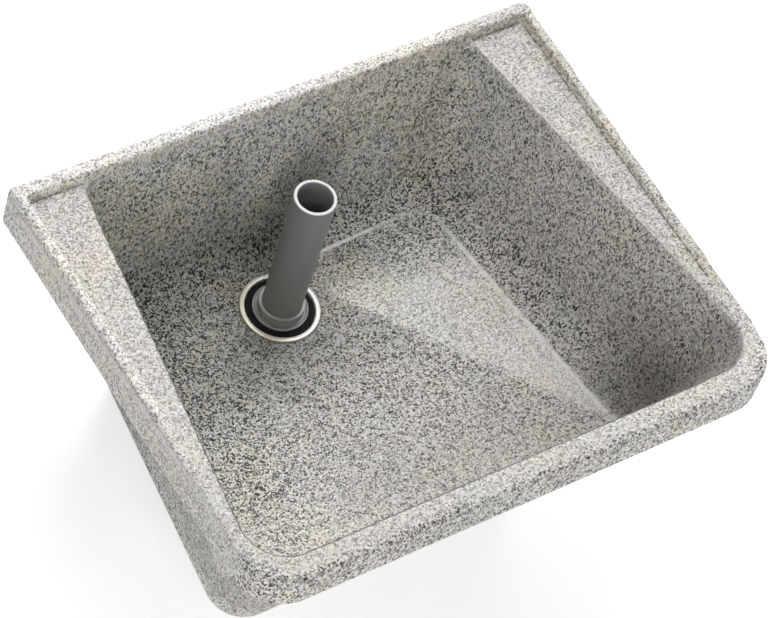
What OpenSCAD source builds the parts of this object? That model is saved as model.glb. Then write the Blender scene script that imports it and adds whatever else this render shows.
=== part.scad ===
// Mop service sink: a one-piece cast terrazzo basin with a screwed waste fitting and a
// lift-out overflow standpipe. Millimetres, +Z up, the back of the rim faces +Y.
// The origin is in the middle of the rim's outline, on the floor under the plinth.

/* [Rim] */
// Width of the rim, left to right
rim_w = 600; // [560:1:660]
// Depth of the rim, front to back
rim_d = 492; // [475:1:545]
// Thickness of the rim's flat top
rim_t = 20; // [14:1:26]
// Height of the apron that hangs round the rim
apron_h = 45; // [32:1:60]
// Thickness of the apron
apron_t = 16; // [10:1:20]
// Radius of the rim's two front corners, seen from above
front_corner_r = 50; // [30:1:60]
// Radius of the rim's two rear corners, seen from above
rear_corner_r = 6; // [2:1:10]

/* [Splash lip] */
// Height of the lip above the rim, at the back
lip_h = 13; // [6:1:24]
// Thickness of the lip along the back
back_lip_t = 20; // [17:1:22]
// Radius of the round along the top of the rim's back
back_round_r = 15; // [8:1:16]
// Thickness of the lip along each side, where it runs out towards the front
side_lip_t = 10; // [6:1:12]

/* [Bowl mouth] */
// Step from the foot of the back lip to the bowl
back_step = 1; // [0.5:0.5:4]
// Width of the side ledge at the back of the bowl
side_ledge_rear = 71; // [60:1:80]
// Width of the side ledge at the front of the bowl
side_ledge_front = 16; // [14:1:24]
// Width of the rim in front of the bowl
front_ledge = 25; // [22:1:34]
// Radius of the mouth's rear corners
mouth_rear_r = 14; // [8:1:20]
// Radius of the mouth's front corners
mouth_front_r = 42; // [30:1:50]

/* [Bowl] */
// Depth from the rim to the corners of the floor
bowl_depth = 190; // [170:1:210]
// How much lower the drain lies than the corners of the floor
floor_fall = 19; // [12:1:24]
// How much lower the floor lies where it meets the back wall behind the drain
rear_fall = 16; // [8:1:18]
// Thickness of the bowl's walls and floor
wall_t = 14; // [12:1:18]
// Thickness of the floor at the drain
drain_t = 22; // [18:1:26]
// Radius of the cove between the floor and the rear corners
cove_rear_r = 30; // [24:1:36]
// Radius of the cove between the floor and the front corners
cove_front_r = 40; // [30:1:46]
// How far the floor lies inside the mouth, at the back
rear_run = 57; // [48:1:62]
// How far the floor lies inside the mouth, at the front
front_run = 96; // [80:1:110]
// How far the floor lies inside the mouth, at the sides of the back
side_run_rear = 40; // [34:1:50]
// How far the floor lies inside the mouth, at the sides of the front
side_run_front = 62; // [52:1:72]
// Radius of the belly's two front corners, underneath
belly_front_r = 40; // [34:1:46]
// Distance of a belly corner's centre from the mouth's side
belly_side_run = 52.5; // [48:0.5:54]
// Distance of a belly corner's centre from the mouth's front
belly_front_run = 74.5; // [66:0.5:78]
// How much lower the belly's front corners lie than those of the floor
belly_drop = 13.5; // [12:0.5:18]

/* [Plinth] */
// Clear height under the bowl, for the waste fitting
plinth_h = 59; // [56:1:80]
// Width of the plinth
plinth_w = 330; // [280:1:350]
// Thickness of the plinth's walls
plinth_t = 28; // [20:1:36]
// Distance from the rim's front to the plinth
plinth_front = 137; // [125:1:150]
// Distance from the rim's back to the plinth, which is open at the back
plinth_back = 67; // [55:1:75]
// Radius of the plinth's front corners
plinth_r = 40; // [37:1:60]

/* [Waste fitting] */
// Distance of the drain from the middle of the basin, left is negative
drain_x = -15; // [-40:1:40]
// Distance of the drain from the rim's back
drain_back = 117; // [110:1:123]
// Radius of the bright flange round the drain
flange_r = 42; // [40.5:0.5:44]
// Height of the flange above the floor
flange_h = 2.2; // [1.6:0.1:3]
// Radius of the cup inside the flange
cup_r = 37; // [36.5:0.1:37.5]
// Depth of the cup's flat seat below the floor
seat_depth = 4; // [3.5:0.1:5]
// Thickness of the cup's wall and bottom
cup_t = 2.5; // [2:0.1:3]
// Radius of the tail's upper thread, which takes the backnut
tail_r = 30; // [29.9:0.1:30.5]
// Radius of the outlet's thread below it, which takes the trap's nut
outlet_r = 29.8; // [29:0.1:29.8]
// Radius of the bore that the plug's spigot enters
waste_bore_r = 26; // [25.6:0.1:26.4]
// Radius of the outlet bore below the strainer
outlet_bore_r = 24.5; // [23:0.1:25]
// Depth of the strainer's ledge below the floor
strainer_depth = 24; // [23:0.5:28]
// Length of the outlet's thread
outlet_l = 35; // [20:1:35]
// Width of the relief groove between the two threads
relief_w = 2; // [1:0.1:2]
// Depth of the relief groove
relief_depth = 1; // [0.5:0.1:1.5]
// Play round the fitting in the basin's hole
hole_play = 0.7; // [0.5:0.1:1]
// Thickness of the gasket under the cup
gasket_t = 2; // [1.5:0.1:3]
// Thickness of the rubber washer under the basin
washer_t = 4; // [3:0.5:5]
// Radius of the rubber washer under the basin
washer_r = 40; // [38:1:42]
// Thickness of the slip ring
slip_t = 2; // [1.5:0.5:3]
// Radius of the slip ring
slip_r = 38.5; // [36:0.5:40]
// Height of the backnut
nut_h = 12; // [9:1:13]
// Width of the backnut across its flats
nut_af = 76; // [72:1:80]
// Thickness of the strainer
strainer_t = 1.5; // [1:0.1:2]
// Width of the strainer's slots
slot_w = 3.2; // [2.4:0.1:3.6]
// Distance between the strainer's slots
slot_pitch = 6.4; // [5.6:0.1:8]
// Width of the bar under the strainer
bar_w = 8; // [6:0.5:10]
// Height of the bar under the strainer
bar_h = 9; // [7:0.5:12]
// Radius of the strainer screw's shank
screw_r = 2.1; // [1.8:0.1:2.5]
// Radius of the strainer screw's head
screw_head_r = 4.4; // [4:0.1:5]
// Height of the strainer screw's head
screw_head_h = 2; // [1.6:0.1:2.4]

/* [Standpipe] */
// Height of the standpipe's mouth above the floor at the drain
pipe_h = 192; // [160:1:200]
// Outer radius of the standpipe at its mouth
pipe_mouth_r = 22; // [21:0.1:23]
// Outer radius of the standpipe at its foot
pipe_foot_r = 20.7; // [20:0.1:21]
// Radius of the standpipe's bore
pipe_bore_r = 17.8; // [16.5:0.1:18.5]
// Depth of the standpipe's foot below the floor
pipe_foot_depth = 8; // [4:0.5:12]
// Outer radius of the plug's collar
collar_r = 24; // [23.2:0.1:24.5]
// Height of the plug's collar above the floor
collar_h = 13; // [8:0.5:20]
// Radius of the plug's flange
plug_r = 29; // [28:0.1:31]
// Thickness of the plug's flange
plug_t = 3.4; // [2.6:0.1:5]
// Depth of the groove in the plug's flange
groove_depth = 1.4; // [0.8:0.1:1.8]
// Width of the raised edge of the plug's flange
plug_edge_w = 1.6; // [1:0.1:2.2]
// Radius of the plug's spigot
spigot_r = 25; // [24.6:0.1:25.2]
// Depth of the spigot's end below the floor
spigot_depth = 18; // [14:0.5:19]
// Radius of the plug's rubber seal
seal_r = 36.4; // [35:0.1:36.4]

/* [Hidden] */
$fn = 96;
// Sides of the round corners and balls that a hull joins
hull_fn = 32;
// How far a cut runs past the face that it opens
over = 1;
// Play of pieces that slip over the tail, or over each other within the fitting
slip_play = 0.4;
// Play of the glued standpipe in its socket, and of the screw in the strainer
snug_play = 0.1;

back_y = rim_d / 2;
front_y = -rim_d / 2;
drain_y = back_y - drain_back;
// Level of the floor at the drain, of the floor's corners and of the rim
drain_z = plinth_h + drain_t;
floor_z = drain_z + floor_fall;
rim_z = floor_z + bowl_depth;
mouth_back_y = back_y - back_lip_t - back_step;
mouth_front_y = front_y + front_ledge;
mouth_rear_x = rim_w / 2 - side_ledge_rear;
mouth_front_x = rim_w / 2 - side_ledge_front;
// Centre of the floor's front corner on the right, and of the belly's
floor_front = [mouth_front_x - side_run_front, mouth_front_y + front_run,
               floor_z + cove_front_r];
belly_front = [mouth_front_x - belly_side_run, mouth_front_y + belly_front_run,
               floor_z - belly_drop + belly_front_r];
// Radius of the flat round the drain
drain_flat_r = flange_r + 1.5;
// Lowest face of the cup, and of the gasket below it
cup_base = seat_depth + cup_t;
pocket_depth = cup_base + gasket_t;
pocket_r = cup_r + cup_t + hole_play;
// Level of each piece under the basin
washer_z = drain_z - drain_t - washer_t;
slip_z = washer_z - slip_t;
nut_z = slip_z - nut_h;
outlet_z = nut_z - relief_w;
tail_end_z = outlet_z - outlet_l;

// Flat outline with two radii at the front and two at the rear
module outline(w, front, back, front_r, rear_r) {
    translate([-w / 2, front + front_r])
        square([w, back - front - front_r - rear_r]);
    translate([-w / 2 + front_r, front])
        square([w - 2 * front_r, front_r]);
    translate([-w / 2 + rear_r, back - rear_r])
        square([w - 2 * rear_r, rear_r]);
    for (side = [-1, 1]) {
        translate([side * (w / 2 - front_r), front + front_r]) circle(r = front_r);
        translate([side * (w / 2 - rear_r), back - rear_r]) circle(r = rear_r);
    }
}

// The bowl's hollow, or its outside where grow is the walls' thickness. The two front corners
// of the floor are balls of front_r round front, and the drain's flat lies low deeper.
module bowl_form(grow, front_r, front, low) {
    hull() {
        for (side = [-1, 1]) {
            translate([side * (mouth_rear_x - mouth_rear_r), mouth_back_y - mouth_rear_r, rim_z])
                cylinder(r = mouth_rear_r + grow, h = over, $fn = hull_fn);
            translate([side * (mouth_front_x - mouth_front_r), mouth_front_y + mouth_front_r, rim_z])
                cylinder(r = mouth_front_r + grow, h = over, $fn = hull_fn);
            translate([side * (mouth_rear_x - side_run_rear), mouth_back_y - rear_run,
                       floor_z + cove_rear_r])
                sphere(r = cove_rear_r + grow, $fn = hull_fn);
            translate([side * front.x, front.y, front.z]) sphere(r = front_r, $fn = hull_fn);
        }
        translate([drain_x, mouth_back_y - rear_run, floor_z - rear_fall + cove_rear_r])
            sphere(r = cove_rear_r + grow, $fn = hull_fn);
        translate([drain_x, drain_y, drain_z - low])
            cylinder(r = drain_flat_r, h = over, $fn = 2 * hull_fn);
    }
}

// Rim with its hanging apron, hollow underneath
module rim_slab() {
    difference() {
        translate([0, 0, rim_z - apron_h])
            linear_extrude(apron_h)
                outline(rim_w, front_y, back_y, front_corner_r, rear_corner_r);
        translate([0, 0, rim_z - apron_h - over])
            linear_extrude(apron_h - rim_t + over)
                outline(rim_w - 2 * apron_t, front_y + apron_t, back_y - apron_t,
                        front_corner_r - apron_t, rear_corner_r);
    }
}

// Splash lip: full height along the back, running out along both sides
module splash_lip() {
    intersection() {
        translate([0, 0, rim_z - over])
            linear_extrude(lip_h + over)
                outline(rim_w, front_y, back_y, front_corner_r, rear_corner_r);
        union() {
            translate([-rim_w / 2, back_y - back_lip_t, rim_z - over])
                cube([rim_w, back_lip_t, lip_h + over]);
            for (x = [-rim_w / 2, rim_w / 2 - side_lip_t])
                translate([x, 0, 0])
                    rotate([90, 0, 90])
                        linear_extrude(side_lip_t)
                            polygon([[back_y, rim_z - over], [back_y, rim_z + lip_h],
                                     [front_y + front_corner_r, rim_z],
                                     [front_y + front_corner_r, rim_z - over]]);
        }
    }
}

// What is cut away from the sharp top edge of the rim's back
module back_round() {
    difference() {
        translate([-rim_w / 2 - over, back_y - back_round_r, rim_z + lip_h - back_round_r])
            cube([rim_w + 2 * over, back_round_r + over, back_round_r + over]);
        translate([-rim_w / 2 - 2 * over, back_y - back_round_r, rim_z + lip_h - back_round_r])
            rotate([0, 90, 0]) cylinder(r = back_round_r, h = rim_w + 4 * over);
    }
}

// Plinth under the bowl, open at the back for the waste pipe
module plinth() {
    difference() {
        linear_extrude(floor_z)
            outline(plinth_w, front_y + plinth_front, back_y - plinth_back, plinth_r, over);
        translate([0, 0, -over])
            linear_extrude(floor_z + 2 * over)
                outline(plinth_w - 2 * plinth_t, front_y + plinth_front + plinth_t,
                        back_y - plinth_back + 2 * over, plinth_r - plinth_t, over);
    }
}

module basin() {
    color([0.70, 0.69, 0.66])
        difference() {
            union() {
                rim_slab();
                splash_lip();
                plinth();
                intersection() {
                    bowl_form(wall_t, belly_front_r, belly_front, drain_t);
                    linear_extrude(rim_z)
                        outline(rim_w, front_y, back_y, front_corner_r, rear_corner_r);
                }
            }
            bowl_form(0, cove_front_r, floor_front, 0);
            translate([drain_x, drain_y, drain_z - pocket_depth])
                cylinder(r = pocket_r, h = pocket_depth + over);
            translate([drain_x, drain_y, drain_z - drain_t - over])
                cylinder(r = tail_r + hole_play, h = drain_t);
            back_round();
        }
}

// Flat ring round the drain's axis, standing on level z
module ring(outer_r, inner_r, z, h) {
    translate([drain_x, drain_y, z])
        difference() {
            cylinder(r = outer_r, h = h);
            translate([0, 0, -over]) cylinder(r = inner_r, h = h + 2 * over);
        }
}

module flange_gasket() {
    color([0.12, 0.12, 0.12])
        ring(cup_r + cup_t, tail_r + slip_play, drain_z - pocket_depth, gasket_t);
}

// Flange, cup and threaded tail in one piece, with the bar that takes the screw
module waste_body() {
    nut_depth = drain_z - nut_z;
    outlet_depth = drain_z - outlet_z;
    tail_depth = drain_z - tail_end_z;
    bed = 0.2; // sealant under the flange
    crown = 0.7; // how far the flange's edges lie under its crown
    draft = 0.5; // how far each edge leans in
    lead_in = 2; // bevel that guides the spigot
    flange_mid_r = (flange_r + cup_r) / 2;
    color([0.80, 0.80, 0.78])
        translate([drain_x, drain_y, drain_z]) {
            rotate_extrude()
                polygon([[flange_r, bed], [flange_r - draft, flange_h - crown],
                         [flange_mid_r, flange_h], [cup_r + draft, flange_h - crown],
                         [cup_r, 0], [cup_r, -seat_depth], [waste_bore_r + lead_in, -seat_depth],
                         [waste_bore_r, -seat_depth - lead_in], [waste_bore_r, -strainer_depth],
                         [outlet_bore_r, -strainer_depth], [outlet_bore_r, -tail_depth],
                         [outlet_r, -tail_depth], [outlet_r, -outlet_depth],
                         [tail_r - relief_depth, -outlet_depth],
                         [tail_r - relief_depth, -nut_depth], [tail_r, -nut_depth],
                         [tail_r, -cup_base],
                         [cup_r + cup_t, -cup_base], [cup_r + cup_t, bed]]);
            difference() {
                intersection() {
                    translate([-waste_bore_r, -bar_w / 2, -strainer_depth - bar_h])
                        cube([2 * waste_bore_r, bar_w, bar_h]);
                    translate([0, 0, -strainer_depth - bar_h])
                        cylinder(r = outlet_bore_r + over, h = bar_h);
                }
                translate([0, 0, -strainer_depth - bar_h - over])
                    cylinder(r = screw_r, h = bar_h + 2 * over);
            }
        }
}

// Slotted plate, with a solid middle for its screw and a solid edge
module strainer() {
    plate_r = waste_bore_r - slip_play;
    edge = 3;
    rows = floor((plate_r - edge) / slot_pitch);
    color([0.78, 0.78, 0.77])
        translate([drain_x, drain_y, drain_z - strainer_depth])
            difference() {
                cylinder(r = plate_r, h = strainer_t);
                difference() {
                    intersection() {
                        for (row = [-rows:rows])
                            translate([row * slot_pitch - slot_w / 2, -plate_r, -over])
                                cube([slot_w, 2 * plate_r, strainer_t + 2 * over]);
                        translate([0, 0, -over])
                            cylinder(r = plate_r - edge, h = strainer_t + 2 * over);
                    }
                    translate([0, 0, -2 * over])
                        cylinder(r = screw_head_r + over, h = strainer_t + 4 * over);
                    translate([-plate_r, -bar_w / 2, -2 * over])
                        cube([2 * plate_r, bar_w, strainer_t + 4 * over]);
                }
                translate([0, 0, -over])
                    cylinder(r = screw_r + snug_play, h = strainer_t + 2 * over);
            }
}

module strainer_screw() {
    shank_l = strainer_t + bar_h - over;
    driver_w = 1.2;
    color([0.75, 0.75, 0.74])
        translate([drain_x, drain_y, drain_z - strainer_depth + strainer_t]) {
            difference() {
                cylinder(r = screw_head_r, h = screw_head_h);
                translate([-screw_head_r - over, -driver_w / 2, screw_head_h / 2])
                    cube([2 * screw_head_r + 2 * over, driver_w, screw_head_h]);
            }
            translate([0, 0, -shank_l]) cylinder(r = screw_r, h = shank_l);
        }
}

module bottom_washer() {
    color([0.12, 0.12, 0.12])
        ring(washer_r, tail_r + slip_play, washer_z, washer_t);
}

module slip_ring() {
    color([0.88, 0.87, 0.82])
        ring(slip_r, tail_r + slip_play, slip_z, slip_t);
}

module backnut() {
    color([0.78, 0.66, 0.36])
        translate([drain_x, drain_y, nut_z])
            difference() {
                cylinder(d = nut_af / cos(30), h = nut_h, $fn = 6);
                translate([0, 0, -over]) cylinder(r = tail_r + snug_play, h = nut_h + 2 * over);
            }
}

// Overflow tube, a little wider at its mouth than at its foot
module standpipe() {
    color([0.36, 0.37, 0.38])
        translate([drain_x, drain_y, drain_z])
            rotate_extrude()
                polygon([[pipe_bore_r, -pipe_foot_depth], [pipe_foot_r, -pipe_foot_depth],
                         [pipe_foot_r, collar_h], [pipe_mouth_r, pipe_h], [pipe_bore_r, pipe_h]]);
}

// Foot that the standpipe is glued into: collar, grooved flange and spigot
module standpipe_socket() {
    socket_r = pipe_foot_r + snug_play;
    color([0.40, 0.40, 0.41])
        translate([drain_x, drain_y, drain_z])
            rotate_extrude()
                polygon([[pipe_bore_r, -spigot_depth], [spigot_r, -spigot_depth], [spigot_r, 0],
                         [plug_r, 0], [plug_r, plug_t], [plug_r - plug_edge_w, plug_t],
                         [plug_r - plug_edge_w, plug_t - groove_depth],
                         [collar_r, plug_t - groove_depth], [collar_r, collar_h],
                         [socket_r, collar_h], [socket_r, -pipe_foot_depth],
                         [pipe_bore_r, -pipe_foot_depth]]);
}

// Rubber ring that lies on the cup's seat
module plug_seal() {
    color([0.10, 0.10, 0.10])
        ring(seal_r, spigot_r, drain_z - seat_depth, seat_depth);
}

basin();
flange_gasket();
waste_body();
strainer();
strainer_screw();
bottom_washer();
slip_ring();
backnut();
standpipe();
standpipe_socket();
plug_seal();
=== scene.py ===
import bpy
import bmesh
import math
from mathutils import Matrix, Vector


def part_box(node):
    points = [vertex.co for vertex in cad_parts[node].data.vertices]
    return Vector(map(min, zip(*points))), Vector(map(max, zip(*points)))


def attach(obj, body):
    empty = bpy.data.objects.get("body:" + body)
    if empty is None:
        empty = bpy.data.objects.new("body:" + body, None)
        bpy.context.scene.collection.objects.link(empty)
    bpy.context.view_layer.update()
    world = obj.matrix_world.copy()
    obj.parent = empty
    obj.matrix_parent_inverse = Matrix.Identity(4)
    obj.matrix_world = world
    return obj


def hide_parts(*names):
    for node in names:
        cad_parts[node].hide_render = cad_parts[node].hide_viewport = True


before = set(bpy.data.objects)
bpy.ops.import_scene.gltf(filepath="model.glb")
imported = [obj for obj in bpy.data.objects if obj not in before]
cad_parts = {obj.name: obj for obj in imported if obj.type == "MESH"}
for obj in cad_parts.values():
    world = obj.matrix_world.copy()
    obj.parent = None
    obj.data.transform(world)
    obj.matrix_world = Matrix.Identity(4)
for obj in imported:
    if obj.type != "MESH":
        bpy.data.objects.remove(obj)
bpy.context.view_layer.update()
print("frame loaded:", sorted(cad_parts))

basinLow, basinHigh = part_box("basin")
pipeLow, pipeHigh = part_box("standpipe")
drainX = (pipeLow.x + pipeHigh.x) / 2
drainY = (pipeLow.y + pipeHigh.y) / 2
tiny = 1e-5
level = 0.9  # least z of a level face's normal
fineSides = 96

basin = {
    "lipHigh": 0.013,  # splash lip above the rim, at the back
    "backLipThick": 0.020,
    "sideLipThick": 0.010,
    "lipRoot": 0.010,  # how far the lip reaches down into the rim
    "backRound": 0.015,
    "rimRound": 0.005,  # rounding of the rim's outer top edge
    "apronHigh": 0.045,
    "apronThick": 0.016,
    "rimThick": 0.020,
    "frontCorner": 0.050,
    "rearCorner": 0.006,
    "ledgeRear": 0.071,
    "ledgeFront": 0.016,
    "frontLedge": 0.025,
    "backStep": 0.001,
    "mouthRearR": 0.014,
    "mouthFrontR": 0.042,
    "bowlDeep": 0.190,
    "floorFall": 0.019,
    "rearFall": 0.016,
    "wall": 0.014,
    "drainThick": 0.022,
    "coveRear": 0.030,
    "coveFront": 0.040,
    "rearRun": 0.057,
    "frontRun": 0.096,
    "sideRunRear": 0.040,
    "sideRunFront": 0.062,
    "bellySideRun": 0.0525,
    "bellyFrontRun": 0.0745,
    "bellyDrop": 0.0135,
    "drainFlat": 0.0435,
    "pocketR": 0.0402,
    "pocketDeep": 0.0085,
    "tailHoleR": 0.0307,
    "plinthWide": 0.330,
    "plinthThick": 0.028,
    "plinthFront": 0.137,
    "plinthBack": 0.067,
    "plinthR": 0.040,
    "cornerSteps": 16,
    "plinthSteps": 12,
    "edgeSteps": 4,
    "past": 0.1,  # how far a cutter reaches past what it cuts
    "shortPast": 0.02,
    "hollowPast": 0.05,
    "thin": 0.001,
    "voxel": 0.0024,
    "softFactor": 0.5,
    "softPasses": 4,
    "mostTriangles": 185000,
}

rimTop = basinHigh.z - basin["lipHigh"]
floorZ = rimTop - basin["bowlDeep"]
drainZ = floorZ - basin["floorFall"]
halfWide = basinHigh.x
frontY, backY = basinLow.y, basinHigh.y
mouthBackY = backY - basin["backLipThick"] - basin["backStep"]
mouthFrontY = frontY + basin["frontLedge"]
mouthRearX = halfWide - basin["ledgeRear"]
mouthFrontX = halfWide - basin["ledgeFront"]


def clearSelection():
    if bpy.context.mode != "OBJECT":
        bpy.ops.object.mode_set(mode="OBJECT")
    bpy.ops.object.select_all(action="DESELECT")


def makeActive(piece):
    clearSelection()
    piece.select_set(True)
    bpy.context.view_layer.objects.active = piece


def applyPlace(piece, name):
    makeActive(piece)
    bpy.ops.object.transform_apply(location=True, rotation=True, scale=True)
    piece.name = name
    piece.data.name = name
    return piece


def addBlock(name, low, high):
    clearSelection()
    middle = [(a + b) / 2 for a, b in zip(low, high)]
    bpy.ops.mesh.primitive_cube_add(size=1, location=middle)
    bpy.context.object.scale = [b - a for a, b in zip(low, high)]
    return applyPlace(bpy.context.object, name)


def addDisc(name, x, y, low, high, radius, sides=64):
    clearSelection()
    bpy.ops.mesh.primitive_cylinder_add(vertices=sides, radius=radius, depth=high - low,
                                        location=(x, y, (low + high) / 2))
    return applyPlace(bpy.context.object, name)


def addBall(name, place, radius, sides=64):
    clearSelection()
    bpy.ops.mesh.primitive_uv_sphere_add(segments=sides, ring_count=sides // 2, radius=radius,
                                         location=place)
    return applyPlace(bpy.context.object, name)


def startEdit(piece):
    makeActive(piece)
    bpy.ops.object.mode_set(mode="EDIT")


def endEdit():
    bpy.ops.object.mode_set(mode="OBJECT")


def selectAll():
    bpy.ops.mesh.select_all(action="SELECT")


def choose(piece, kind, test):
    bpy.ops.mesh.select_mode(type=kind)
    bpy.ops.mesh.select_all(action="DESELECT")
    mesh = bmesh.from_edit_mesh(piece.data)
    mesh.normal_update()
    parts = {"VERT": mesh.verts, "EDGE": mesh.edges, "FACE": mesh.faces}[kind]
    for part in parts:
        if test(part):
            part.select_set(True)
    mesh.select_flush_mode()
    bmesh.update_edit_mesh(piece.data)


def roundEdges(piece, test, size, steps):
    choose(piece, "EDGE", test)
    bpy.ops.mesh.bevel(offset=size, segments=steps, affect="EDGES")


def isUpright(edge):
    run = edge.verts[1].co - edge.verts[0].co
    return abs(run.x) < tiny and abs(run.y) < tiny and abs(run.z) > tiny


def isFrontUpright(edge):
    return isUpright(edge) and edge.verts[0].co.y < 0


def isRearUpright(edge):
    return isUpright(edge) and edge.verts[0].co.y > backY - tiny


def useModifier(piece, kind, **settings):
    makeActive(piece)
    modifier = piece.modifiers.new(kind.title(), kind)
    for key, value in settings.items():
        setattr(modifier, key, value)
    bpy.ops.object.modifier_apply(modifier=modifier.name)


def combine(piece, tool, operation="DIFFERENCE"):
    useModifier(piece, "BOOLEAN", object=tool, operation=operation, solver="EXACT")
    bpy.data.objects.remove(tool, do_unlink=True)


def soften(piece, width, segments, degrees=30):
    useModifier(piece, "BEVEL", width=width, segments=segments, limit_method="ANGLE",
                angle_limit=math.radians(degrees))


def joinAll(parts, name):
    makeActive(parts[0])
    for part in parts[1:]:
        part.select_set(True)
    bpy.ops.object.join()
    bpy.context.object.name = name
    return bpy.context.object


def hullOf(parts, name):
    shape = joinAll(parts, name)
    startEdit(shape)
    selectAll()
    bpy.ops.mesh.convex_hull()
    endEdit()
    return shape


def smooth(piece, degrees=35):
    makeActive(piece)
    bpy.ops.object.shade_smooth_by_angle(angle=math.radians(degrees))


def triangleCount(piece):
    return sum(len(face.vertices) - 2 for face in piece.data.polygons)


# basin


def makeOutline(name, low, high):
    block = addBlock(name, (-halfWide, frontY, low), (halfWide, backY, high))
    startEdit(block)
    roundEdges(block, isFrontUpright, basin["frontCorner"], basin["cornerSteps"])
    endEdit()
    return block


def makeRim():
    b = basin
    rim = makeOutline("basinStone", rimTop - b["apronHigh"], rimTop)
    startEdit(rim)
    # the hanging apron: the underside is inset and pushed up
    choose(rim, "FACE", lambda face: face.normal.z < -level)
    bpy.ops.mesh.inset(thickness=b["apronThick"])
    lift = b["apronHigh"] - b["rimThick"]
    bpy.ops.mesh.extrude_region_move(TRANSFORM_OT_translate={"value": (0, 0, lift)})
    roundEdges(rim, isRearUpright, b["rearCorner"], b["edgeSteps"])
    roundEdges(rim, lambda edge: all(v.co.z > rimTop - tiny for v in edge.verts)
               and any(v.co.y < backY - 2 * b["rearCorner"] for v in edge.verts),
               b["rimRound"], b["edgeSteps"])
    endEdit()
    return rim


def makeLip():
    b = basin
    past = b["past"]
    endY = frontY + b["frontCorner"]
    lipTop = rimTop + b["lipHigh"]
    lip = addBlock("lip", (-halfWide, endY, rimTop - b["lipRoot"]), (halfWide, backY, lipTop))
    innerX = halfWide - b["sideLipThick"]
    combine(lip, addBlock("lipCut", (-innerX, endY - past, rimTop - past),
                          (innerX, backY - b["backLipThick"], lipTop + past)))
    startEdit(lip)
    choose(lip, "VERT", lambda v: v.co.y < endY + tiny and v.co.z > rimTop)
    bpy.ops.transform.translate(value=(0, 0, -b["lipHigh"]))
    roundEdges(lip, isRearUpright, b["rearCorner"], b["edgeSteps"])
    endEdit()
    # the rounded back edge is what a lying bar leaves of a square one
    r, over, wide = b["backRound"], b["shortPast"], halfWide + past
    corner = addBlock("backCorner", (-wide, backY - r, lipTop - r), (wide, backY + over, lipTop + over))
    bar = addDisc("backBar", 0, 0, -wide - over, wide + over, r, fineSides)
    bar.rotation_euler = (0, math.pi / 2, 0)
    bar.location = (0, backY - r, lipTop - r)
    applyPlace(bar, "backBar")
    combine(corner, bar)
    combine(lip, corner)
    return lip


def makeBowlForm(name, grow, frontR, front, low, top):
    b = basin
    parts = []
    for side in (-1, 1):
        x, r = mouthRearX - b["mouthRearR"], b["mouthRearR"]
        parts.append(addDisc("mouthRear", side * x, mouthBackY - r, rimTop, top, r + grow))
        x, r = mouthFrontX - b["mouthFrontR"], b["mouthFrontR"]
        parts.append(addDisc("mouthFront", side * x, mouthFrontY + r, rimTop, top, r + grow))
        rear = (side * (mouthRearX - b["sideRunRear"]), mouthBackY - b["rearRun"],
                floorZ + b["coveRear"])
        parts.append(addBall("rearCorner", rear, b["coveRear"] + grow))
        parts.append(addBall("frontCorner", (side * front[0], front[1], front[2]), frontR))
    middle = (drainX, mouthBackY - b["rearRun"], floorZ - b["rearFall"] + b["coveRear"])
    parts.append(addBall("rearMiddle", middle, b["coveRear"] + grow))
    parts.append(addDisc("drainFlat", drainX, drainY, drainZ - low, drainZ - low + b["thin"],
                         b["drainFlat"]))
    return hullOf(parts, name)


def makePlinthBlock(name, inset, past, low, high):
    half = basin["plinthWide"] / 2 - inset
    block = addBlock(name, (-half, frontY + basin["plinthFront"] + inset, low),
                     (half, backY - basin["plinthBack"] + past, high))
    startEdit(block)
    roundEdges(block, isFrontUpright, basin["plinthR"] - inset, basin["plinthSteps"])
    endEdit()
    return block


def makePlinth():
    past = basin["past"]
    plinth = makePlinthBlock("plinth", 0, 0, 0, floorZ)
    inner = makePlinthBlock("plinthCut", basin["plinthThick"], past, -past, floorZ + past)
    combine(plinth, inner)
    return plinth


def cutRound(piece, name, low, high, radius, sides=fineSides):
    combine(piece, addDisc(name, drainX, drainY, low, high, radius, sides))


def makeBasin():
    b = basin
    stone = makeRim()
    belly = makeBowlForm("belly", b["wall"], b["coveFront"],
                         (mouthFrontX - b["bellySideRun"], mouthFrontY + b["bellyFrontRun"],
                          floorZ - b["bellyDrop"] + b["coveFront"]),
                         b["drainThick"], rimTop + b["thin"])
    combine(belly, makeOutline("bellyLimit", 0, rimTop - 2 * b["thin"]), "INTERSECT")
    combine(stone, makeLip(), "UNION")
    combine(stone, belly, "UNION")
    combine(stone, makePlinth(), "UNION")
    hollow = makeBowlForm("hollow", 0, b["coveFront"],
                          (mouthFrontX - b["sideRunFront"], mouthFrontY + b["frontRun"],
                           floorZ + b["coveFront"]), 0, rimTop + b["hollowPast"])
    combine(stone, hollow)
    print("basin shaped:", triangleCount(stone), "triangles")
    useModifier(stone, "REMESH", mode="VOXEL", voxel_size=b["voxel"])
    useModifier(stone, "SMOOTH", factor=b["softFactor"], iterations=b["softPasses"])
    print("basin remeshed:", triangleCount(stone), "triangles")
    useModifier(stone, "DECIMATE", ratio=min(1.0, b["mostTriangles"] / triangleCount(stone)))
    # the remeshed floor is faced flat again round the drain, then the waste's holes are cut
    top = drainZ + b["shortPast"]
    cutRound(stone, "drainSeat", drainZ, top, b["drainFlat"])
    cutRound(stone, "pocket", drainZ - b["pocketDeep"], top, b["pocketR"])
    cutRound(stone, "tailHole", -b["shortPast"], drainZ, b["tailHoleR"])
    smooth(stone, 40)
    print("basin cast:", triangleCount(stone), "triangles")
    return stone


# turned pieces stand on the drain's axis, heights count from the floor at the drain


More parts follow.
